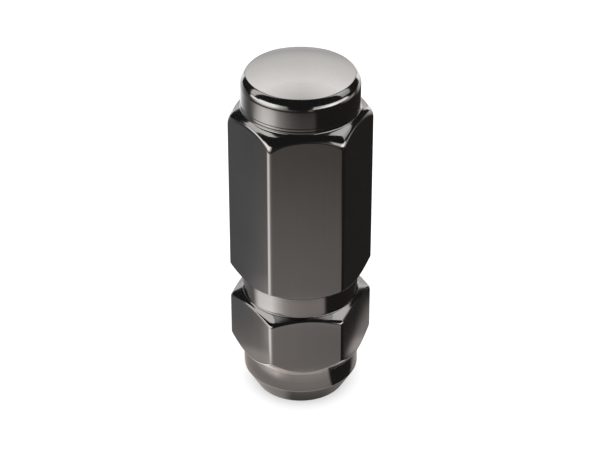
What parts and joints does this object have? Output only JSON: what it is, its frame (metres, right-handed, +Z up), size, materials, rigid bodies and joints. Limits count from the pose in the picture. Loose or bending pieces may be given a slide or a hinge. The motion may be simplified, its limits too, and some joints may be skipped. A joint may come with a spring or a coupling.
{
  "type": "lug nut",
  "caption": "Long closed-end wheel lug nut with an upper and a lower hexagon, a turned groove, a domed cap and a conical seat, threaded inside to clamp a wheel on its stud.",
  "frame": {"origin": "centre of the seat's small end, on the surface the nut stands on", "axes": "+Z up along the nut's axis towards the domed end, with a pair of flats facing -Y and +Y"},
  "size_m": [0.025, 0.022, 0.065],
  "materials": {
    "black_chrome": "smoky dark mirror plating over turned steel"
  },
  "bodies": {
    "root": {"lug_nut": "black_chrome"}
  },
  "joints": []
}
